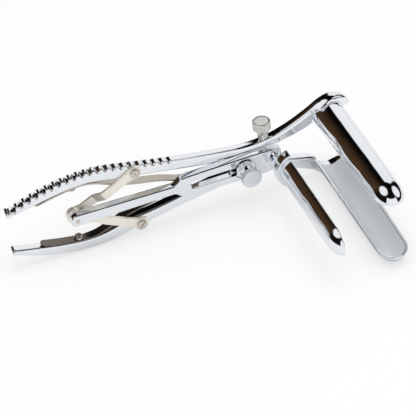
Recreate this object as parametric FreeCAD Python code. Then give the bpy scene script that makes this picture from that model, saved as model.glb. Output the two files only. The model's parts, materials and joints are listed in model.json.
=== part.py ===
import FreeCAD, Part
import os
from math import atan2, cos, degrees, hypot, pi, sin, sqrt

# Three-blade anal speculum. Two sprung handles spread the upper and the lower blade,
# and a toggle draws the third blade back on a slotted slide. Millimetres.
#
# The pivot of the two levers is worked at X 0, Z 0. +X runs to the blades' end, Z is the
# spreading direction and the blades point to -Y. The levers' front faces lie at Y 0.
# At the end everything is moved so that the origin is the middle of the base.

os.makedirs("parts", exist_ok=True)
V = FreeCAD.Vector

# clearances
RUN = 0.05          # radial, shaft in hole
SLIP = 0.15         # side play of a sliding or stacked flat
SEAT = 0.02         # between joined pieces of one body

# levers
TIP_X = -140.6      # handle's tip
BACK = 7.0          # levers' depth along Y
LAP = BACK / 2
BEVEL = 0.6         # broken edges of the forgings
LUG_R = 7.8         # half-lap discs round the pivot
RECESS = 0.5        # front faces let down where the slide passes
RECESS_X = (-14.0, 23.5)
FLARE_X = (44.5, 50.5)   # the arms deepen to the front between these
BACK_BEVEL = 1.2    # on the outer edges
TEETH = 21
TEETH_X = (-136.0, -43.0)
TOOTH_DEEP = 2.1
TOOTH_SHALLOW = 1.0

# blades
BLADE_R = 10.3      # outer radius at the root
TIP_R = 9.2
BLADE_END = 96.0
THIRD_END = 98.0
NOSE = 13.0         # length of the domed end
SHEET = 1.5
BLADE_X = 55.0
BLADE_TIP_X = 54.2
SOCKET = 3.0        # the blade's root lies this far behind the lever's front face
RIM = 1.2           # the trough's edge lies this far beyond the arc's centre
OUTER = 26.9        # the outermost line of blades and hoods, on which it all lies
HOOD = 2.1          # the hood stands this far outside the blade at its crown
HOOD_R = 13.0
HOOD_X = 57.6
HOOD_RIM = 4.2
HOOD_BACK = 8.0
HOOD_ROUND = 2.6
LIP = 4.0           # front edge of the hood where the arm meets it
LIP_LEAN = 0.33     # the edge falls back by this share towards the far side
LIP_ROUND = 1.4
ROOT_Z = OUTER - HOOD - BLADE_R    # the trough's axis at the root
TIP_Z = OUTER - TIP_R              # and at the tip, where it lies as low as the hood

# third blade, on the slide
THIRD_X = 25.2
THIRD_R = 9.5
THIRD_TIP_R = 9.3
THIRD_RIM = 2.8
COLLAR = (14.0, 19.5)
NECK_X = (14.0, 22.0)
NECK_W = 6.4

# slide
SLIDE_Y = 0.3       # gap between the levers' front faces and the slide
PLATE = 4.8
BAR_END_X = -45.0
BAR_HALF = 3.7
BAR_FRONT_HALF = 2.7
PLATE_HALF = 6.8
PLATE_FRONT_HALF = 7.6
SLOT = (-34.0, 5.2)
SEAT_R = 6.6        # spot face into which the clamp drops at full spread
SEAT_DEEP = 1.0

# toggle
ARM_PIN = (-64.4, 0.6914 * OUTER)
REAR_PIN_X = -101.8
LINK = 1.6
EYE_R = 4.2
REAR_EYE_R = 4.8
STRAP = 5.4
STRAP_CORNER = 9.0   # the strap widens into its eyes
JOGGLE = (14.5, 19.5)    # along the link from the rear pin
PIN_R = 1.3
OPEN_R = 2.8        # hole under the open pivot
STUB_R = 1.0
HEAD_R = 2.9
HEAD = 1.5

# leaf springs
LEAF = 1.0
LEAF_W = 5.5
LEAF_Y = 0.6        # front edge, behind the slide and the links
LEAF_SCREW_X = -101.0
LEAF_HEAD_R = 2.7
LEAF_HEAD = 1.6

# pivot stud, clamp knob and set screw
STUD_R = 2.6
KNOB_R = 6.1
KNOB = 3.4
KNOB_FACE = 16.0
KNOB_HUB_R = 4.3
SET_X = 15.0
SET_R = 2.0
SET_KNOB_R = 5.4
SET_TOP = 23.4
FLUTES = 18


def curve(points):
    line = Part.BSplineCurve()
    line.interpolate(Points=[V(x, 0, z) for x, z in points])
    return line.toShape()


def bends(points):
    """Arcs through all points but the first, which only gives the direction at the second."""
    arcs = []
    (x0, z0), (x1, z1) = points[:2]
    turn = atan2(z1 - z0, x1 - x0)
    for (x0, z0), (x1, z1) in zip(points[1:], points[2:]):
        half = atan2(z1 - z0, x1 - x0) - turn
        reach = hypot(x1 - x0, z1 - z0) / (2 * cos(half / 2))
        middle = V(x0 + reach * cos(turn + half / 2), 0, z0 + reach * sin(turn + half / 2))
        arcs.append(Part.Arc(V(x0, 0, z0), middle, V(x1, 0, z1)).toShape())
        turn += 2 * half
    return arcs


def line(a, b):
    return Part.makeLine(V(a[0], 0, a[1]), V(b[0], 0, b[1]))


def plate(edges, front, back):
    """A plan outline in XZ made solid from Y front to Y back."""
    wire = Part.Wire(Part.__sortEdges__(edges))
    face = Part.Face(wire)
    solid = face.extrude(V(0, back - front, 0))
    solid.translate(V(0, front, 0))
    return solid


def rod(radius, x, z, front, back):
    """A cylinder along Y."""
    return Part.makeCylinder(radius, back - front, V(x, front, z), V(0, 1, 0))


def box(x0, x1, y0, y1, z0, z1):
    return Part.makeBox(x1 - x0, y1 - y0, z1 - z0, V(x0, y0, z0))


def mirror(shape):
    return shape.mirror(V(0, 0, 0), V(0, 0, 1))


def rounded(shape, radius, wanted):
    edges = [edge for edge in shape.Edges if wanted(edge)]
    return shape.makeFillet(radius, edges)


# levers

def heights(points):
    """Points of the levers' plan, X in millimetres and height as a share of OUTER."""
    return [(x, share * OUTER) for x, share in points]


# the arm's back and its inner edge, from the handle's tip to the blade
OUTLINE = heights([(-142.0, 0.504), (-138.6, 0.565), (-109.7, 0.911), (-98.0, 0.967),
                   (-75.2, 0.903), (-44.4, 0.647), (-2.2, 0.39), (25.4, 0.491), (47.8, 0.881),
                   (BLADE_X + 1, 0.965)])
INLINE = heights([(-142.0, 0.43), (-139.0, 0.457), (-113.9, 0.662), (-99.4, 0.736),
                  (-80.1, 0.665), (-63.5, 0.543), (-48.7, 0.457), (-19.3, 0.253), (32.9, 0.342),
                  (39.3, 0.409), (49.0, 0.651)])


def arm(front):
    """The bent bar from the handle's tip to the blade's root."""
    outer = bends(OUTLINE)
    inner = bends(INLINE)
    (x0, z0), (x1, z1) = INLINE[1], OUTLINE[1]
    tip = Part.Arc(V(x0, 0, z0), V(TIP_X, 0, (z0 + z1) / 2), V(x1, 0, z1))
    end = line(OUTLINE[-1], INLINE[-1])
    return plate(outer + inner + [end, tip.toShape()], front, BACK)


def behind_front(back):
    """All that lies behind the arm's front, which comes forward in an S and then falls back."""
    x0, x1 = FLARE_X
    far = HOOD_X + 2 * HOOD_R
    sweep = Part.BSplineCurve()
    sweep.interpolate(Points=[V(x0, 0, 0), V((x0 + x1) / 2, -LIP / 2, 0), V(x1, -LIP, 0)],
                      InitialTangent=V(1, 0, 0), FinalTangent=V(1, LIP_LEAN, 0))
    corners = [V(x1, -LIP, 0), V(far, -LIP + LIP_LEAN * (far - x1), 0), V(far, back, 0),
               V(x0, back, 0), V(x0, 0, 0)]
    edges = [sweep.toShape()] + [Part.makeLine(a, b) for a, b in zip(corners, corners[1:])]
    return Part.Face(Part.Wire(edges)).extrude(V(0, 0, 2 * OUTER))


def blade_way():
    """The trough's axis, out along -Y and a little away from the middle."""
    return V(BLADE_TIP_X - BLADE_X, -BLADE_END - SOCKET, TIP_Z - ROOT_Z)


def hood():
    """The arm's end rolled round the blade's root, and its hollow."""
    left = HOOD_X - HOOD_R
    right = HOOD_X + HOOD_R
    flange = rod(HOOD_R, HOOD_X, OUTER - HOOD_R, -LIP - 1, HOOD_BACK)
    flange = flange.common(behind_front(HOOD_BACK + 1))
    flange = rounded(flange, HOOD_ROUND, lambda e: e.BoundBox.YMin > HOOD_BACK - 0.01 and e.BoundBox.XLength > 5)
    flange = rounded(flange, LIP_ROUND, lambda e: e.BoundBox.YMax < LIP and e.BoundBox.XLength > 8)
    hollow = rod(BLADE_R - SHEET, BLADE_X, ROOT_Z, -LIP - 1, HOOD_BACK + 1)
    socket = spoon(BLADE_R + SEAT, TIP_R + SEAT, BLADE_END + SOCKET, NOSE)
    socket = aim(socket, V(BLADE_X, SOCKET + 2 * SEAT, ROOT_Z), blade_way())
    keep = box(left, right, -20, 20, ROOT_Z + HOOD_RIM, 2 * OUTER)
    return flange.common(keep), hollow.fuse(socket)


def broken(body, points, bevel):
    """The body with its edges along a plan curve broken."""
    way = Part.Wire(bends(points))

    def on_way(edge):
        middle = edge.valueAt((edge.FirstParameter + edge.LastParameter) / 2)
        off = way.distToShape(Part.Vertex(V(middle.x, 0, middle.z)))[0]
        return off < 0.01 and edge.BoundBox.YLength < 0.01

    return body.makeChamfer(bevel, [edge for edge in body.Edges if on_way(edge)])


def tooth_cuts():
    """V grooves square to the handle's back, deep at the tip and shallow near the joint."""
    back = bends(OUTLINE)
    cuts = []
    for number in range(TEETH):
        share = number / (TEETH - 1)
        x = TEETH_X[0] + (TEETH_X[1] - TEETH_X[0]) * share
        upright = Part.makeLine(V(x, 0, 0), V(x, 0, 2 * OUTER))
        arc = min(back, key=lambda edge: edge.distToShape(upright)[0])
        place = arc.distToShape(upright)[1][0][0]
        along = arc.tangentAt(arc.Curve.parameter(place))
        out = V(-along.z, 0, along.x)
        deep = TOOTH_DEEP + (TOOTH_SHALLOW - TOOTH_DEEP) * share
        half = 1.75 - 0.35 * share
        bottom = place - out * deep
        top = place + out * 0.8
        spread = half * (deep + 0.8) / deep
        corners = [top - along * spread, bottom - along * 0.25, bottom + along * 0.25, top + along * spread]
        wire = Part.makePolygon(corners + corners[:1])
        groove = Part.Face(wire).extrude(V(0, BACK + 4, 0))
        groove.translate(V(0, -2, 0))
        cuts.append(groove)
    return cuts


def lever(toothed):
    """Forging with its blade side up. The toothed one laps in front at the pivot."""
    body = broken(broken(arm(0), OUTLINE, BACK_BEVEL), INLINE, BEVEL)
    flange, hollow = hood()
    flare = arm(-LIP - 1).common(behind_front(2 * BEVEL))
    body = body.fuse(flange).fuse(flare).cut(hollow)
    lap_y = (0.0, LAP - SLIP / 2) if toothed else (LAP + SLIP / 2, BACK)
    gone_y = (LAP - SLIP / 2, BACK + 1) if toothed else (-1, LAP + SLIP / 2)
    x0, x1 = RECESS_X
    band = [(x0, 0), (x0, 8.2), (0, 7.4), (12, 7.8), (x1, 10.6), (x1, 0)]
    recess = plate([line(p, q) for p, q in zip(band, band[1:] + band[:1])], -1, RECESS)
    body = body.cut([recess, rod(LUG_R + 0.5, 0, 0, *gone_y)])
    body = body.fuse(rod(LUG_R, 0, 0, *lap_y))
    body = body.cut(rod(STUD_R + RUN, 0, 0, -1, BACK + 1))
    body = body.cut(rod(OPEN_R, ARM_PIN[0], ARM_PIN[1], -1, 4.2))
    body = body.cut(Part.makeCylinder(STUB_R + SEAT, 8, V(LEAF_SCREW_X, LEAF_Y + LEAF_W / 2, 15.3)))
    return body


def build_levers():
    toothed = lever(True)
    for cut in tooth_cuts():
        toothed = toothed.cut(cut)
    toothed = toothed.cut(Part.makeCylinder(SET_R + RUN, 12, V(SET_X, LAP, 2), V(0, 0, 1)))
    return toothed, mirror(lever(False))


# blades

def spoon(root_r, tip_r, length, nose):
    """Tapered round bar from the origin along -Y, its end a long dome."""
    shoulder = nose - length
    dome = Part.Ellipse(V(0, -length, 0), V(tip_r, shoulder, 0), V(0, shoulder, 0))
    outline = [Part.makeLine(V(0, 0, 0), V(root_r, 0, 0)),
               Part.makeLine(V(root_r, 0, 0), V(tip_r, shoulder, 0)),
               Part.ArcOfEllipse(dome, 0, pi / 2).toShape(),
               Part.makeLine(V(0, -length, 0), V(0, 0, 0))]
    face = Part.Face(Part.Wire(Part.__sortEdges__(outline)))
    return face.revolve(V(0, 0, 0), V(0, 1, 0), 360)


def aim(shape, start, way):
    """Moves a shape that points along -Y to start, pointing along way."""
    shape.Placement = FreeCAD.Placement(start, FreeCAD.Rotation(V(0, -1, 0), way))
    return shape


def trough(root_r, tip_r, length, depth):
    """Half-round blade along -Y with its hollow towards -Z, its edges depth past the axis."""
    outside = spoon(root_r, tip_r, length, NOSE)
    inside = spoon(root_r - SHEET, tip_r - SHEET, length - SHEET, NOSE - SHEET)
    keep = box(-2 * root_r, 2 * root_r, -2 * length, 1, depth, 2 * root_r)
    return outside.cut(inside).common(keep)


def build_blade():
    way = blade_way()
    return aim(trough(BLADE_R, TIP_R, -way.y, RIM), V(BLADE_X, SOCKET, ROOT_Z), way)


def build_third_blade():
    blade = trough(THIRD_R, THIRD_TIP_R, THIRD_END - COLLAR[0] - 1.5, THIRD_RIM)
    blade.rotate(V(0, 0, 0), V(0, 1, 0), -90)
    blade.translate(V(THIRD_X, -COLLAR[0] - 1.5, 0))
    return blade


# slide

def build_slide():
    """Bar and slotted plate in one forging, with the neck and collar of the third blade."""
    front = -SLIDE_Y - PLATE
    rear = Part.Arc(V(REAR_PIN_X, 0, BAR_HALF), V(REAR_PIN_X - BAR_HALF, 0, 0), V(REAR_PIN_X, 0, -BAR_HALF))
    side = line((REAR_PIN_X, BAR_HALF), (BAR_END_X, BAR_FRONT_HALF))
    step = curve([(BAR_END_X, BAR_FRONT_HALF), (BAR_END_X + 2.5, BAR_FRONT_HALF + 0.5), (-39.0, PLATE_HALF - 0.7),
                  (-35.0, PLATE_HALF), (-20.0, 7.2), (-2.0, 7.5), (10.0, PLATE_FRONT_HALF),
                  (18.0, 7.1), (NECK_X[1] + 0.4, NECK_W)])
    end = line((NECK_X[1] + 0.4, NECK_W), (NECK_X[1] + 0.4, -NECK_W))
    body = plate([rear.toShape(), side, mirror(side), step, mirror(step), end], front, -SLIDE_Y)
    body = body.makeChamfer(0.6, [e for e in body.Edges if abs(e.BoundBox.YMax - front) < 0.01])
    half = STUD_R + SLIP
    slot = box(SLOT[0] + half, SLOT[1] - half, -20, 1, -half, half)
    slot = slot.fuse([rod(half, SLOT[0] + half, 0, -20, 1), rod(half, SLOT[1] - half, 0, -20, 1)])
    seat = rod(SEAT_R, 0, 0, front - 1, front + SEAT_DEEP)
    body = body.cut([slot, seat, rod(PIN_R + SEAT, REAR_PIN_X, 0, -20, 5)])
    return body.fuse(neck()).fuse(collar())


def neck():
    """Waisted post from the plate's front end out to the collar."""
    x0, x1 = NECK_X
    rings = []
    for y, left, right, half in ((-SLIDE_Y, x0, x1, NECK_W), (-SLIDE_Y - 3, x0, x1, NECK_W),
                                 (-8.0, x0 + 1.2, x1 - 0.6, NECK_W - 1.2), (-11.5, x0 + 1.2, x1 - 0.2, NECK_W),
                                 (-COLLAR[0] - 0.5, x0 + 1.6, x1, NECK_W + 1.6)):
        oval = Part.Ellipse(V(0, 0, 0), half, (right - left) / 2)
        wire = Part.Wire(oval.toShape())
        wire.rotate(V(0, 0, 0), V(1, 0, 0), 90)
        wire.rotate(V(0, 0, 0), V(0, 1, 0), 90)
        wire.translate(V((left + right) / 2, y, 0))
        rings.append(wire)
    return Part.makeLoft(rings, True)


def collar():
    """Half-round bell round the third blade's root."""
    back, lip = COLLAR
    bell = rod(THIRD_R + HOOD, THIRD_X, 0, -lip, -back + 2.5)
    bell = rounded(bell, 3.0, lambda e: e.BoundBox.YMin > -lip + 1 and e.BoundBox.XLength > 5)
    hollow = rod(THIRD_R + SEAT, THIRD_X, 0, -lip - 1, -back - 1.5 + SEAT)
    hollow = hollow.fuse(rod(THIRD_R - SHEET, THIRD_X, 0, -lip - 1, -back + 0.5))
    keep = box(THIRD_X - 30, THIRD_X - THIRD_RIM + 0.4, -40, 5, -30, 30)
    return bell.cut(hollow).common(keep)


# toggle

def link_angle():
    return atan2(ARM_PIN[1], ARM_PIN[0] - REAR_PIN_X)


def link_length():
    return hypot(ARM_PIN[1], ARM_PIN[0] - REAR_PIN_X)


def build_link(level):
    """Joggled strap. level 0 lies next to the slide's bar at the rear pin, level 1 behind that."""
    length = link_length()
    low = -SLIDE_Y + 0.1 + level * (LINK + 0.1)
    high = -SLIDE_Y / 2 - LINK
    near, far = JOGGLE
    profile = [(-12, low), (near, low), (far, high), (length + 12, high), (length + 12, high + LINK),
               (far + 0.6, high + LINK), (near + 0.6, low + LINK), (-12, low + LINK)]
    wire = Part.makePolygon([V(x, y, 0) for x, y in profile + profile[:1]])
    strip = Part.Face(wire).extrude(V(0, 0, 30))
    strip.translate(V(0, 0, -15))
    plan = box(0, length, -20, 20, -STRAP / 2, STRAP / 2)
    plan = plan.fuse([rod(REAR_EYE_R, 0, 0, -20, 20), rod(EYE_R, length, 0, -20, 20)]).removeSplitter()
    corners = [e for e in plan.Edges if e.BoundBox.YLength > 30 and abs(abs(e.BoundBox.ZMax) - STRAP / 2) < 0.01]
    plan = plan.makeFillet(STRAP_CORNER, corners)
    body = plan.common(strip)
    body = body.cut([rod(PIN_R + RUN, 0, 0, -20, 20), rod(STUB_R + SEAT, length, 0, -20, 20)])
    body.rotate(V(0, 0, 0), V(0, 1, 0), -degrees(link_angle()))
    body.translate(V(REAR_PIN_X, 0, 0))
    return body


def build_link_screw():
    """Slotted cheese-head screw through the link's eye into the wide hole of the lever."""
    x, z = ARM_PIN
    front = -SLIDE_Y / 2 - LINK
    head = rod(HEAD_R, x, z, front - HEAD, front)
    head = head.makeChamfer(0.4, [e for e in head.Edges if e.BoundBox.YMax < front - HEAD + 0.01])
    slot = box(-HEAD_R - 1, HEAD_R + 1, front - HEAD - 1, front - HEAD + 0.8, -0.4, 0.4)
    slot.rotate(V(0, 0, 0), V(0, 1, 0), 55)
    slot.translate(V(x, 0, z))
    return head.fuse(rod(STUB_R, x, z, front, 3.0)).cut(slot)


def build_rear_pin():
    back = -SLIDE_Y + 2 * (LINK + 0.1) + 0.1
    pin = rod(PIN_R, REAR_PIN_X, 0, -SLIDE_Y - PLATE, back)
    return pin.fuse(rod(PIN_R + 1.0, REAR_PIN_X, 0, back, back + 0.9))


# leaf springs

# the spring's face towards the handle
LEAF_TOP = heights([(-126.5, 0.517), (-123.5, 0.55), (-99.8, 0.733), (-84.5, 0.639), (-57.3, 0.309),
                    (-41.2, 0.126), (-27.0, 0.052)])


def build_leaf():
    """Flat spring along the handle's inside, its free end near the middle."""
    top = bends(LEAF_TOP)
    under = [edge.translated(V(0, 0, -LEAF)) for edge in top]
    first = top[0].firstVertex().Point
    last = top[-1].lastVertex().Point
    ends = [Part.makeLine(corner, corner - V(0, 0, LEAF)) for corner in (first, last)]
    strip = plate(top + under + ends, LEAF_Y, LEAF_Y + LEAF_W)
    middle = LEAF_Y + LEAF_W / 2
    plan = box(first.x + LEAF_W / 2, 0, LEAF_Y - 1, LEAF_Y + LEAF_W + 1, 0, OUTER)
    plan = plan.fuse(Part.makeCylinder(LEAF_W / 2, OUTER, V(first.x + LEAF_W / 2, middle, 0)))
    hole = Part.makeCylinder(STUB_R + SEAT, OUTER, V(LEAF_SCREW_X, middle, 0))
    return strip.common(plan).cut(hole)


def build_leaf_screw():
    """Slotted round-head screw through the leaf into the handle, seated on the leaf's lower side."""
    middle = LEAF_Y + LEAF_W / 2
    side = LEAF_SCREW_X - LEAF_HEAD_R
    upright = Part.makeLine(V(side, 0, 0), V(side, 0, OUTER))
    seat = Part.Wire(bends(LEAF_TOP)).distToShape(upright)[1][0][0].z - LEAF - SEAT
    front = seat - LEAF_HEAD
    head = Part.makeCylinder(LEAF_HEAD_R, LEAF_HEAD, V(LEAF_SCREW_X, middle, front))
    head = head.makeChamfer(0.7, [e for e in head.Edges if e.BoundBox.ZMax < front + 0.01])
    slot = box(LEAF_SCREW_X - 0.35, LEAF_SCREW_X + 0.35, middle - 5, middle + 5, 0, front + 0.7)
    return head.fuse(Part.makeCylinder(STUB_R, 5.0, V(LEAF_SCREW_X, middle, seat))).cut(slot)


# pivot stud, clamp knob and set screw

def fluted(radius, height, bottom, axis):
    """Knurled disc as a star prism with its two rims broken."""
    points = []
    for number in range(2 * FLUTES + 1):
        reach = radius if number % 2 else radius - 0.35
        turn = pi * number / FLUTES
        points.append(V(reach * cos(turn), reach * sin(turn), 0))
    star = Part.Face(Part.makePolygon(points)).extrude(V(0, 0, height))
    barrel = Part.makeCylinder(radius, height)
    barrel = barrel.makeChamfer(0.45, [e for e in barrel.Edges if e.BoundBox.ZLength < 0.01])
    disc = star.common(barrel)
    disc.Placement = FreeCAD.Placement(bottom, FreeCAD.Rotation(V(0, 0, 1), axis))
    return disc


def build_stud():
    """Shouldered pivot of both levers and of the slide, with a slotted head at the back."""
    head = rod(4.6, 0, 0, BACK, BACK + 1.4)
    head = head.makeChamfer(0.5, [e for e in head.Edges if e.BoundBox.YMin > BACK + 1 and e.BoundBox.XLength > 2])
    slot = box(-6, 6, BACK + 0.7, BACK + 3, -0.45, 0.45)
    return head.fuse(rod(STUD_R, 0, 0, -KNOB_FACE + 1.7, BACK)).cut(slot)


def build_washer():
    front = -SLIDE_Y - PLATE - 0.1
    return rod(5.6, 0, 0, front - 1.0, front).cut(rod(STUD_R + RUN, 0, 0, -20, 0))


def build_clamp_knob():
    """Knurled nut with a hub, on the stud in front of the slide."""
    hub_front = -KNOB_FACE + KNOB
    hub_back = -SLIDE_Y - PLATE - 1.15
    knob = fluted(KNOB_R, KNOB, V(0, hub_front, 0), V(0, -1, 0))
    knob = knob.fuse(rod(KNOB_HUB_R, 0, 0, hub_front, hub_back))
    return knob.cut(rod(STUD_R + RUN, 0, 0, -KNOB_FACE + 1.6, 0))


def build_set_screw():
    """Knurled thumb screw through the upper arm."""
    def column(radius, low, high):
        return Part.makeCylinder(radius, high - low, V(SET_X, LAP, low))

    disc = fluted(SET_KNOB_R, 5.8, V(SET_X, LAP, SET_TOP - 5.8), V(0, 0, 1))
    groove = column(SET_KNOB_R + 1, SET_TOP - 1.9, SET_TOP - 1.3).cut(column(SET_KNOB_R - 0.6, 0, 40))
    return disc.cut(groove).fuse([column(3.3, 12.6, SET_TOP - 5.8), column(SET_R, 6.1, 12.6)])


# assembly

def build_all():
    """Every piece by its name, still worked from the pivot."""
    toothed, smooth = build_levers()
    blade = build_blade()
    leaf = build_leaf()
    leaf_screw = build_leaf_screw()
    link_screw = build_link_screw()
    return {
        "lever_a": toothed,
        "lever_b": smooth,
        "blade_a": blade,
        "blade_b": mirror(blade),
        "leaf_spring_a": leaf,
        "leaf_spring_b": mirror(leaf),
        "leaf_screw_a": leaf_screw,
        "leaf_screw_b": mirror(leaf_screw),
        "slide": build_slide(),
        "blade_c": build_third_blade(),
        "rear_pin": build_rear_pin(),
        "link_a": build_link(1),
        "link_b": mirror(build_link(0)),
        "link_screw_a": link_screw,
        "link_screw_b": mirror(link_screw),
        "pivot_stud": build_stud(),
        "clamp_washer": build_washer(),
        "clamp_knob": build_clamp_knob(),
        "set_screw": build_set_screw(),
    }


front_x = HOOD_X + sqrt(HOOD_R ** 2 - (ROOT_Z + HOOD_RIM - OUTER + HOOD_R) ** 2)
middle_x = (front_x + TIP_X) / 2
middle_y = (HOOD_BACK - max(THIRD_END, BLADE_END)) / 2
for name, shape in build_all().items():
    shape.translate(V(-middle_x, -middle_y, OUTER))
    shape.exportStep("parts/%s.step" % name)
print("pivot at", round(-middle_x, 3), round(-middle_y, 3), OUTER)
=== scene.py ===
import json
from math import cos, pi, radians, sin

import bmesh
import bpy
from mathutils import Matrix, Quaternion, Vector


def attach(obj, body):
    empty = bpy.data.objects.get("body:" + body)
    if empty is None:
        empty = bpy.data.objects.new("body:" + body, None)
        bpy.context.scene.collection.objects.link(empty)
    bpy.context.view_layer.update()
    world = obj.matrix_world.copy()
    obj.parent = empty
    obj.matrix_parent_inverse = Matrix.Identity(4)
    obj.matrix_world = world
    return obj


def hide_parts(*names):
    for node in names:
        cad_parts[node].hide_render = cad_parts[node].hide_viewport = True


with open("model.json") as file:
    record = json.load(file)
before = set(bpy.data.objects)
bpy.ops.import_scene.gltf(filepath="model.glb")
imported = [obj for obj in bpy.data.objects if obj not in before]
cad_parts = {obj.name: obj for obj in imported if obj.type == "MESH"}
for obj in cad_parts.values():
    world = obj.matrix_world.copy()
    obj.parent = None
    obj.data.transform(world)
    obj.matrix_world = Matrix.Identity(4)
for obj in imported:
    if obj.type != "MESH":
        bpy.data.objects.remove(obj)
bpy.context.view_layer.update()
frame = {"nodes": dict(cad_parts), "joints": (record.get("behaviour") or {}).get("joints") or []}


# Levers.
# Two drop forgings of stainless steel, ground to shape, crowned across their edges and
# polished to a mirror. They show the white room and its dark doorway, a little wavy from
# the buffing wheel.

MM = 0.001
pivot = Vector(next(joint["pos_m"] for joint in frame["joints"] if joint["name"] == "lever_hinge"))
lever_thickness = 7 * MM
buffing_length = 26 * MM
mirror_tints = ("#EEF0F3", "#E2E5E9")


def srgb(code):
    """A hex colour as Blender's linear RGBA."""
    parts = [int(code[i:i + 2], 16) / 255 for i in (1, 3, 5)]
    return [c / 12.92 if c <= 0.04045 else ((c + 0.055) / 1.055) ** 2.4 for c in parts] + [1.0]


def add(tree, kind, links=(), **settings):
    """Adds a node with its settings. links pairs a socket of it with another's output or a value."""
    node = tree.nodes.new(kind)
    for name, value in settings.items():
        setattr(node, name, value)
    for socket, source in links:
        if isinstance(source, bpy.types.NodeSocket):
            tree.links.new(source, node.inputs[socket])
        else:
            node.inputs[socket].default_value = source
    return node


def steel(name, tints, rough, spread, grain, wave, corner=0.2, crown=0.0, metal=1.0):
    """Steel of two tints. The roughness lies within spread of rough, over specks of grain mm. In mm too:
    the height of the slow buffing waves, the radius to which polishing has rounded the corners, and how
    far the middle of a lever's edge stands above its two sides."""
    material = bpy.data.materials.new(name)
    material.use_nodes = True
    tree = material.node_tree
    shader = tree.nodes["Principled BSDF"]
    shader.inputs["Metallic"].default_value = metal
    place = add(tree, "ShaderNodeTexCoord").outputs["Object"]
    fine = add(tree, "ShaderNodeTexNoise", [("Vector", place), ("Scale", 1 / (grain * MM)),
                                            ("Detail", 3.0)])
    slow = add(tree, "ShaderNodeTexNoise", [("Vector", place), ("Scale", 1 / buffing_length),
                                            ("Detail", 1.0)])
    colour = add(tree, "ShaderNodeMix", [("Factor", slow.outputs["Fac"]), ("A", srgb(tints[0])),
                                         ("B", srgb(tints[1]))], data_type="RGBA")
    gloss = add(tree, "ShaderNodeMapRange", [("Value", fine.outputs["Fac"]), ("From Min", 0.3),
                                             ("From Max", 0.7), ("To Min", rough - spread),
                                             ("To Max", rough + spread)])
    buffed = add(tree, "ShaderNodeMath", [(0, slow.outputs["Fac"]), (1, wave)], operation="MULTIPLY")
    # Polishing leaves specks 0.003 mm high.
    heights = add(tree, "ShaderNodeMath", [(0, fine.outputs["Fac"]), (1, 0.003), (2, buffed.outputs[0])],
                  operation="MULTIPLY_ADD")
    if crown:
        across = add(tree, "ShaderNodeSeparateXYZ", [("Vector", place)])
        off = add(tree, "ShaderNodeMapRange", [("Value", across.outputs["Y"]), ("From Min", pivot.y),
                                               ("From Max", pivot.y + lever_thickness),
                                               ("To Min", -1.0), ("To Max", 1.0)], clamp=False)
        square = add(tree, "ShaderNodeMath", [(0, off.outputs["Result"]), (1, off.outputs["Result"])],
                     operation="MULTIPLY")
        heights = add(tree, "ShaderNodeMath", [(0, square.outputs[0]), (1, -crown),
                                               (2, heights.outputs[0])], operation="MULTIPLY_ADD")
    rounded = add(tree, "ShaderNodeBevel", [("Radius", corner * MM)], samples=12)
    bump = add(tree, "ShaderNodeBump", [("Height", heights.outputs[0]), ("Distance", MM),
                                        ("Normal", rounded.outputs["Normal"])])
    tree.links.new(colour.outputs["Result"], shader.inputs["Base Color"])
    tree.links.new(gloss.outputs["Result"], shader.inputs["Roughness"])
    tree.links.new(bump.outputs["Normal"], shader.inputs["Normal"])
    return material


def show(material, slot, *names):
    """CAD nodes that are shown as they are take this finish."""
    for name in names:
        node = frame["nodes"][name]
        node.data.materials.clear()
        node.data.materials.append(material)


mirror_steel = steel("mirror_polished_stainless_steel", mirror_tints, rough=0.05, spread=0.02, grain=1.2,
                     wave=0.25, corner=0.8, crown=0.55)
show(mirror_steel, "chromed_steel", "lever_a", "lever_b")


# Blades.
# Half-round troughs of 1.5 mm steel, domed at the end and brazed into the levers and the
# slide's collar. Outside and on the rim they are mirror polished and show the doorway as one
# long dark band. Inside they are blasted to a soft grey that doesn't dazzle.

rim_height = 3.0 * MM
bright_below_rim = (3.8 * MM, 4.3 * MM)
grit = 0.9 * MM


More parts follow.
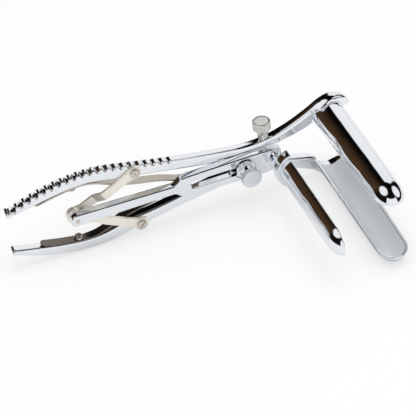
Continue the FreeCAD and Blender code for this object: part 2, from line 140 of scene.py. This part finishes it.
def trough_steel(name, start, end, outward):
    """Polished steel whose faces towards the trough's axis are blasted. start and end lie on the axis,
    and outward points from it to the trough's back."""
    material = steel(name, mirror_tints, rough=0.05, spread=0.02, grain=1.2, wave=1.7, corner=1.0)
    tree = material.node_tree
    shader = tree.nodes["Principled BSDF"]
    polished = {socket: shader.inputs[socket].links[0].from_socket
                for socket in ("Base Color", "Roughness", "Normal")}
    place = add(tree, "ShaderNodeTexCoord")
    along = (end - start).normalized()
    arm = add(tree, "ShaderNodeVectorMath", [(0, place.outputs["Object"]), (1, start)],
              operation="SUBTRACT")
    reach = add(tree, "ShaderNodeVectorMath", [(0, arm.outputs["Vector"]), (1, along)],
                operation="DOT_PRODUCT")
    spine = add(tree, "ShaderNodeVectorMath", [(0, along), ("Scale", reach.outputs["Value"])],
                operation="SCALE")
    out = add(tree, "ShaderNodeVectorMath", [(0, arm.outputs["Vector"]), (1, spine.outputs["Vector"])],
              operation="SUBTRACT")
    out = add(tree, "ShaderNodeVectorMath", [(0, out.outputs["Vector"])], operation="NORMALIZE")
    facing = add(tree, "ShaderNodeVectorMath", [(0, out.outputs["Vector"]), (1, place.outputs["Normal"])],
                 operation="DOT_PRODUCT")
    rim = add(tree, "ShaderNodeVectorMath", [(0, place.outputs["Normal"]), (1, outward)],
              operation="DOT_PRODUCT")
    inner = add(tree, "ShaderNodeMapRange", [("Value", facing.outputs["Value"]), ("From Min", -0.35),
                                             ("From Max", -0.6)])
    flat = add(tree, "ShaderNodeMapRange", [("Value", rim.outputs["Value"]), ("From Min", -0.97),
                                            ("From Max", -0.995)])
    depth = add(tree, "ShaderNodeVectorMath", [(0, arm.outputs["Vector"]), (1, outward)],
                operation="DOT_PRODUCT")
    low = add(tree, "ShaderNodeMath", [(0, depth.outputs["Value"]), (1, rim_height)],
              operation="LESS_THAN")
    edge = add(tree, "ShaderNodeMath", [(0, flat.outputs["Result"]), (1, low.outputs[0])],
               operation="MULTIPLY")
    deep = add(tree, "ShaderNodeMapRange", [("Value", depth.outputs["Value"]),
                                            ("From Min", bright_below_rim[0]),
                                            ("From Max", bright_below_rim[1])])
    wall = add(tree, "ShaderNodeMath", [(0, inner.outputs["Result"]), (1, deep.outputs["Result"])],
               operation="MULTIPLY")
    inside = add(tree, "ShaderNodeMath", [(0, wall.outputs[0]), (1, edge.outputs[0])],
                 operation="SUBTRACT", use_clamp=True).outputs[0]
    specks = add(tree, "ShaderNodeTexNoise", [("Vector", place.outputs["Object"]), ("Scale", 1 / grit),
                                              ("Detail", 4.0)])
    blasted = add(tree, "ShaderNodeMix", [("Factor", specks.outputs["Fac"]), ("A", srgb("#DCE0E4")),
                                          ("B", srgb("#E9ECEF"))], data_type="RGBA")
    colour = add(tree, "ShaderNodeMix", [("Factor", inside), ("A", polished["Base Color"]),
                                         ("B", blasted.outputs["Result"])], data_type="RGBA")
    gloss = add(tree, "ShaderNodeMix", [("Factor", inside), ("A", polished["Roughness"]), ("B", 0.45)],
                data_type="FLOAT")
    body = add(tree, "ShaderNodeMapRange", [("Value", inside), ("To Min", 1.0), ("To Max", 0.2)])
    calm = add(tree, "ShaderNodeMapRange", [("Value", flat.outputs["Result"]), ("To Min", 1.0),
                                            ("To Max", 0.08)])
    tree.links.new(body.outputs["Result"], shader.inputs["Metallic"])
    tree.links.new(calm.outputs["Result"], polished["Normal"].node.inputs["Strength"])
    tree.links.new(colour.outputs["Result"], shader.inputs["Base Color"])
    tree.links.new(gloss.outputs["Result"], shader.inputs["Roughness"])
    return material


def below(point):
    """The point's mirror image in the lower half."""
    return Vector((point.x, point.y, 2 * pivot.z - point.z))


up = Vector((0, 0, 1))
root = pivot + Vector((55.0, 3.0, 14.5)) * MM
tip = pivot + Vector((54.2, -96.0, 17.7)) * MM
show(trough_steel("mirror_steel_with_blasted_inside_upper", root, tip, up), "chromed_steel", "blade_a")
show(trough_steel("mirror_steel_with_blasted_inside_lower", below(root), below(tip), -up),
     "chromed_steel", "blade_b")
third_root = pivot + Vector((25.2, -15.5, 0)) * MM
third_tip = pivot + Vector((25.2, -98.0, 0)) * MM
show(trough_steel("mirror_steel_with_blasted_inside_third", third_root, third_tip, Vector((-1, 0, 0))),
     "chromed_steel", "blade_c")


# Slide.
# One forging with a slotted plate, a waisted neck and a collar, polished like the levers
# but flatter, so that its plate stays pale. The clamp's washer has the same finish.

plate_steel = steel("polished_stainless_steel_plate", ("#ECEFF2", "#DFE3E8"), rough=0.07, spread=0.02,
                    grain=1.2, wave=0.4, corner=0.7)
show(plate_steel, "chromed_steel", "slide", "clamp_washer")


# Toggle.
# The links are stamped from stainless strip and only tumbled, which leaves them a soft warm
# grey without reflections. The screws, the rear pin and the stud are turned from bar, which
# gives them a dull shine.

tumbled_strip = steel("tumbled_stainless_steel_strip", ("#F4EEE4", "#EBE4D9"), rough=0.34, spread=0.05,
                      grain=0.5, wave=0.02, metal=0.7)
show(tumbled_strip, "satin_steel", "link_a", "link_b")
turned_bar = steel("turned_stainless_steel", ("#D3CEC6", "#C2BCB3"), rough=0.22, spread=0.06, grain=0.4,
                   wave=0.02)
show(turned_bar, "satin_steel", "link_screw_a", "link_screw_b", "rear_pin", "leaf_screw_a",
     "leaf_screw_b", "pivot_stud")


# Leaf springs.
# Spring steel strip, hardened and tempered. The upper leaf is scoured to a warm light grey,
# and the lower one keeps the dark grey of its heat treatment.

scoured_spring = steel("scoured_spring_steel", ("#C6BFB3", "#B4ADA2"), rough=0.30, spread=0.06, grain=0.6,
                       wave=0.03)
show(scoured_spring, "satin_steel", "leaf_spring_a")
tempered_spring = steel("tempered_spring_steel", ("#787069", "#645E59"), rough=0.26, spread=0.06,
                        grain=0.6, wave=0.03)
show(tempered_spring, "satin_steel", "leaf_spring_b")


# Clamp knob.
# A turned nut with a slightly domed, satin face and a polished neck. Its rim is rolled with
# a diamond knurl, a little coarser than the real one, so that it shows. The knurl catches
# the light as fine grey specks.

knurl_pitch = 0.8 * MM


def placed(place, way):
    """Turns +Z to way and moves the origin to place."""
    return Matrix.Translation(place) @ way.to_track_quat("Z", "Y").to_matrix().to_4x4()


def turned(name, profile, place, way):
    """A body of revolution. profile lists radius and height in mm along way from place."""
    shape = bmesh.new()
    line = [shape.verts.new((radius * MM, 0, height * MM)) for radius, height in profile]
    edges = [shape.edges.new(pair) for pair in zip(line, line[1:])]
    bmesh.ops.spin(shape, geom=line + edges, cent=(0, 0, 0), axis=(0, 0, 1), angle=2 * pi, steps=96,
                   use_merge=True)
    bmesh.ops.remove_doubles(shape, verts=shape.verts, dist=1e-7)
    bmesh.ops.recalc_face_normals(shape, faces=shape.faces)
    bmesh.ops.transform(shape, verts=shape.verts, matrix=placed(place, way))
    mesh = bpy.data.meshes.new(name)
    shape.to_mesh(mesh)
    shape.free()
    mesh.shade_smooth()
    mesh.set_sharp_from_angle(angle=radians(35))
    return mesh


def link_in(mesh, body, slot, material, *nodes):
    """A finished mesh becomes a piece that rides on a body, in place of the nodes named."""
    piece = bpy.data.objects.new(mesh.name, mesh)
    bpy.context.scene.collection.objects.link(piece)
    mesh.materials.clear()
    mesh.materials.append(material)
    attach(piece, body)
    if nodes:
        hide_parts(*nodes)


def knurl_tree():
    """Rows of four-sided points round a drum, every other row half a pitch on."""
    tree = bpy.data.node_groups.new("knurl", "GeometryNodeTree")
    tree.is_modifier = True
    sockets = tree.interface
    sockets.new_socket("Geometry", in_out="OUTPUT", socket_type="NodeSocketGeometry")
    for kind, names in (("NodeSocketFloat", ("Radius", "Height", "Pitch")),
                        ("NodeSocketInt", ("Around", "Rows")), ("NodeSocketMaterial", ("Finish",))):
        for name in names:
            sockets.new_socket(name, in_out="INPUT", socket_type=kind)
    given = add(tree, "NodeGroupInput").outputs
    both = add(tree, "GeometryNodeJoinGeometry")
    for odd in (0, 1):
        drum = add(tree, "GeometryNodeMeshCylinder",
                   [("Vertices", given["Around"]), ("Side Segments", given["Rows"]),
                    ("Radius", given["Radius"]), ("Depth", given["Height"])], fill_type="NONE")
        half = add(tree, "ShaderNodeMath", [(0, odd * pi), (1, given["Around"])], operation="DIVIDE")
        turn = add(tree, "ShaderNodeCombineXYZ", [("Z", half.outputs[0])])
        step = add(tree, "ShaderNodeMath", [(0, given["Pitch"]), (1, odd * 0.5)], operation="MULTIPLY")
        lift = add(tree, "ShaderNodeCombineXYZ", [("Z", step.outputs[0])])
        moved = add(tree, "GeometryNodeTransform",
                    [("Geometry", drum.outputs["Mesh"]), ("Translation", lift.outputs[0]),
                     ("Rotation", turn.outputs[0])])
        tree.links.new(moved.outputs["Geometry"], both.inputs["Geometry"])
    spot = add(tree, "GeometryNodeInputPosition")
    outward = add(tree, "ShaderNodeVectorMath", [(0, spot.outputs[0]), (1, (1, 1, 0))],
                  operation="MULTIPLY")
    facing = add(tree, "FunctionNodeAlignRotationToVector", [("Vector", outward.outputs["Vector"])],
                 axis="Z")
    facing = add(tree, "FunctionNodeAlignRotationToVector",
                 [("Rotation", facing.outputs["Rotation"]), ("Vector", (0, 0, 1))], axis="X",
                 pivot_axis="Z")
    wide = add(tree, "ShaderNodeMath", [(0, given["Pitch"]), (1, 0.56)], operation="MULTIPLY")
    tall = add(tree, "ShaderNodeMath", [(0, given["Pitch"]), (1, 0.42)], operation="MULTIPLY")
    point = add(tree, "GeometryNodeMeshCone", [("Vertices", 4), ("Radius Bottom", wide.outputs[0]),
                                               ("Radius Top", 0.0), ("Depth", tall.outputs[0])])
    points = add(tree, "GeometryNodeInstanceOnPoints",
                 [("Points", both.outputs["Geometry"]), ("Instance", point.outputs["Mesh"]),
                  ("Rotation", facing.outputs["Rotation"])])
    real = add(tree, "GeometryNodeRealizeInstances", [("Geometry", points.outputs["Instances"])])
    done = add(tree, "GeometryNodeSetMaterial", [("Geometry", real.outputs["Geometry"]),
                                                 ("Material", given["Finish"])])
    add(tree, "NodeGroupOutput", [("Geometry", done.outputs["Geometry"])])
    return tree


knurling = knurl_tree()


def knurled(name, place, way, **given):
    """A ring of knurl as a plain mesh, from the tree's inputs."""
    carrier = bpy.data.objects.new(name + "_carrier", bpy.data.meshes.new(name + "_carrier"))
    bpy.context.scene.collection.objects.link(carrier)
    modifier = carrier.modifiers.new("knurl", "NODES")
    modifier.node_group = knurling
    for item in knurling.interface.items_tree:
        if item.in_out == "INPUT":
            modifier[item.identifier] = given[item.name.lower()]
    ready = carrier.evaluated_get(bpy.context.evaluated_depsgraph_get())
    mesh = bpy.data.meshes.new_from_object(ready)
    mesh.name = name
    carrier.modifiers.clear()
    bpy.data.objects.remove(carrier)
    mesh.transform(placed(place, way))
    return mesh


satin_cool = steel("satin_turned_steel_cool", ("#E2E5EA", "#D2D6DC"), rough=0.36, spread=0.05, grain=0.3,
                   wave=0.02, metal=0.7)
to_lever = Vector((0, 1, 0))
nut_face = pivot + Vector((0, -16.0, 0)) * MM
nut_head = [(0, 0), (3.6, 0.03), (5.0, 0.12), (5.55, 0.3), (5.72, 0.6), (5.72, 2.9), (5.5, 3.25),
            (5.1, 3.4), (2.7, 3.4), (2.7, 1.8), (0, 1.8)]
nut_neck = [(2.7, 3.4), (4.3, 3.4), (4.3, 9.6), (4.15, 9.75), (2.7, 9.75), (2.7, 3.4)]
link_in(turned("clamp_nut", nut_head, nut_face, to_lever), "clamp", "satin_steel", satin_cool,
        "clamp_knob")
link_in(turned("clamp_nut_neck", nut_neck, nut_face, to_lever), "clamp", "chromed_steel", plate_steel)
nut_knurl = knurled("clamp_nut_knurl", nut_face + Vector((0, 1.75, 0)) * MM, to_lever, radius=5.68 * MM,
                    height=2.0 * MM, pitch=knurl_pitch, around=45, rows=3, finish=satin_cool)
link_in(nut_knurl, "clamp", "satin_steel", satin_cool)


# Set screw.
# A turned thumb screw with a deep ring groove round its flat top and a knurled side that
# narrows to a neck. It is satin like the clamp's nut but warmer in tone, and a little
# brighter, so that the groove shows as a dark ring.

satin_warm = steel("satin_turned_steel_warm", ("#F0EEEB", "#DEDBD7"), rough=0.26, spread=0.05, grain=0.3,
                   wave=0.02, metal=0.8)
screw_axis = pivot + Vector((15.0, 3.5, 0)) * MM
screw_profile = [(0, 23.3), (4.0, 23.3), (4.1, 23.2), (4.15, 22.1), (4.7, 22.1), (4.75, 23.25),
                 (5.0, 23.35), (5.25, 23.2), (5.3, 22.7), (5.1, 22.4), (5.05, 22.2), (5.05, 18.2),
                 (4.8, 17.8), (3.6, 17.0), (3.3, 16.6), (3.1, 14.6), (3.3, 13.4), (3.3, 12.7),
                 (3.0, 12.6), (2.0, 12.6), (2.0, 6.4), (1.7, 6.15), (0, 6.15)]
link_in(turned("thumb_screw", screw_profile, screw_axis, up), "set_screw", "satin_steel", satin_warm,
        "set_screw")
screw_knurl = knurled("thumb_screw_knurl", screw_axis + Vector((0, 0, 20.0)) * MM, up, radius=5.0 * MM,
                      height=3.2 * MM, pitch=knurl_pitch, around=39, rows=4, finish=satin_warm)
link_in(screw_knurl, "set_screw", "satin_steel", satin_warm)


# Floor, light and camera.
# A white table under a large soft lamp. Polished steel sees a room of its own, with a dark
# doorway behind the instrument, brown where light falls in and black at its edge, a dark
# ceiling and two soft lamps, which are the highlights on the blades' domed ends.

floor_mesh = bpy.data.meshes.new("floor")
floor_mesh.from_pydata([(-6, -6, 0), (6, -6, 0), (6, 6, 0), (-6, 6, 0)], [], [(0, 1, 2, 3)])
floor = bpy.data.objects.new("floor", floor_mesh)
bpy.context.scene.collection.objects.link(floor)
paper = bpy.data.materials.new("white_paper")
paper.use_nodes = True
tree = paper.node_tree
tree.nodes.clear()
# Six tenths of the paper's white are its own to the camera, which keeps the shadows pale.
paper_glow = 0.6
ray = add(tree, "ShaderNodeLightPath")
lit = add(tree, "ShaderNodeBsdfDiffuse", [("Color", srgb("#F4F4F4"))])
glow = add(tree, "ShaderNodeEmission", [("Color", srgb("#FFFFFF")), ("Strength", 1.0)])
share = add(tree, "ShaderNodeMath", [(0, ray.outputs["Is Camera Ray"]), (1, paper_glow)],
            operation="MULTIPLY")
mixed = add(tree, "ShaderNodeMixShader", [("Fac", share.outputs[0]), (1, lit.outputs[0]),
                                          (2, glow.outputs[0])])
add(tree, "ShaderNodeOutputMaterial", [("Surface", mixed.outputs[0])])
floor_mesh.materials.append(paper)

# What stands round the instrument, in degrees from +Y towards +X.
walls = ((-125, "#FFFFFF"), (-120, "#0C0C0D"), (-62, "#1C140E"), (-42, "#4A3624"), (-20, "#241810"),
         (-6, "#070606"), (13, "#060505"), (17, "#FFFFFF"), (44, "#FFFFFF"), (48, "#0C0C0D"),
         (140, "#0C0C0D"), (146, "#FFFFFF"))
# The ceiling begins between these two, in degrees above the table.
ceiling_starts, ceiling_full = 42, 46
# Each soft lamp's direction, the angle to which it is full and the one at which it ends.
soft_lamps = (((-0.495, 0.190, 0.848), 20, 26), ((0.751, -0.079, 0.656), 23, 29))
world = bpy.data.worlds.new("studio")
bpy.context.scene.world = world
world.use_nodes = True
tree = world.node_tree
tree.nodes.clear()
way = add(tree, "ShaderNodeTexCoord").outputs["Generated"]
parts = add(tree, "ShaderNodeSeparateXYZ", [("Vector", way)])
turn = add(tree, "ShaderNodeMath", [(0, parts.outputs["X"]), (1, parts.outputs["Y"])],
           operation="ARCTAN2")
turn = add(tree, "ShaderNodeMapRange", [("Value", turn.outputs[0]), ("From Min", -pi), ("From Max", pi)])
room = add(tree, "ShaderNodeValToRGB", [("Fac", turn.outputs["Result"])])
while len(room.color_ramp.elements) < len(walls):
    room.color_ramp.elements.new(0.5)
for element, (angle, tone) in zip(room.color_ramp.elements, walls):
    element.position = 0.5 + angle / 360
    element.color = srgb(tone)
rise = add(tree, "ShaderNodeMapRange", [("Value", parts.outputs["Z"]),
                                        ("From Min", sin(radians(ceiling_starts))),
                                        ("From Max", sin(radians(ceiling_full)))])
room = add(tree, "ShaderNodeMix", [("Factor", rise.outputs["Result"]), ("A", room.outputs["Color"]),
                                   ("B", srgb("#08080A"))], data_type="RGBA")
for spot, full, end in soft_lamps:
    near = add(tree, "ShaderNodeVectorMath", [(0, way), (1, Vector(spot).normalized())],
               operation="DOT_PRODUCT")
    lamp_light = add(tree, "ShaderNodeMapRange", [("Value", near.outputs["Value"]),
                                                  ("From Min", cos(radians(end))),
                                                  ("From Max", cos(radians(full)))])
    room = add(tree, "ShaderNodeMix", [("Factor", lamp_light.outputs["Result"]),
                                       ("A", room.outputs["Result"]), ("B", srgb("#FFFFFF"))],
               data_type="RGBA")
ray = add(tree, "ShaderNodeLightPath")
clear = add(tree, "ShaderNodeMath", [(0, ray.outputs["Is Camera Ray"]),
                                     (1, ray.outputs["Is Transmission Ray"])], operation="MAXIMUM")
light = add(tree, "ShaderNodeBackground", [("Color", srgb("#FFFFFF")), ("Strength", 0.75)])
plain = add(tree, "ShaderNodeBackground", [("Color", srgb("#FFFFFF")), ("Strength", 1.0)])
mirrored = add(tree, "ShaderNodeBackground", [("Color", room.outputs["Result"]), ("Strength", 1.0)])
mixed = add(tree, "ShaderNodeMixShader", [("Fac", clear.outputs[0]), (1, light.outputs[0]),
                                          (2, plain.outputs[0])])
mixed = add(tree, "ShaderNodeMixShader", [("Fac", ray.outputs["Is Glossy Ray"]), (1, mixed.outputs[0]),
                                          (2, mirrored.outputs[0])])
add(tree, "ShaderNodeOutputWorld", [("Surface", mixed.outputs[0])])

lamp_data = bpy.data.lights.new("overhead", "AREA")
lamp_data.size = 0.9
lamp_data.energy = 6.0
lamp = bpy.data.objects.new("overhead", lamp_data)
bpy.context.scene.collection.objects.link(lamp)
lamp.location = (0.1, -0.1, 1.2)
lamp.rotation_euler = (-lamp.location).to_track_quat("-Z", "Y").to_euler()
lamp.visible_glossy = False

camera_data = bpy.data.cameras.new("camera")
camera_data.lens = 213.1
camera_data.sensor_width = 36.0
camera_data.clip_start = 0.01
camera = bpy.data.objects.new("camera", camera_data)
bpy.context.scene.collection.objects.link(camera)
camera.location = pivot + Vector((-337.6, -1056.0, 875.4)) * MM
aim = pivot + Vector((-25.77, -7.32, -17.58)) * MM
camera_roll = radians(-6.93)
facing = (aim - camera.location).to_track_quat("-Z", "Y")
camera.rotation_mode = "QUATERNION"
camera.rotation_quaternion = facing @ Quaternion((0, 0, 1), camera_roll)
bpy.context.scene.camera = camera
bpy.context.scene.view_settings.view_transform = "Standard"
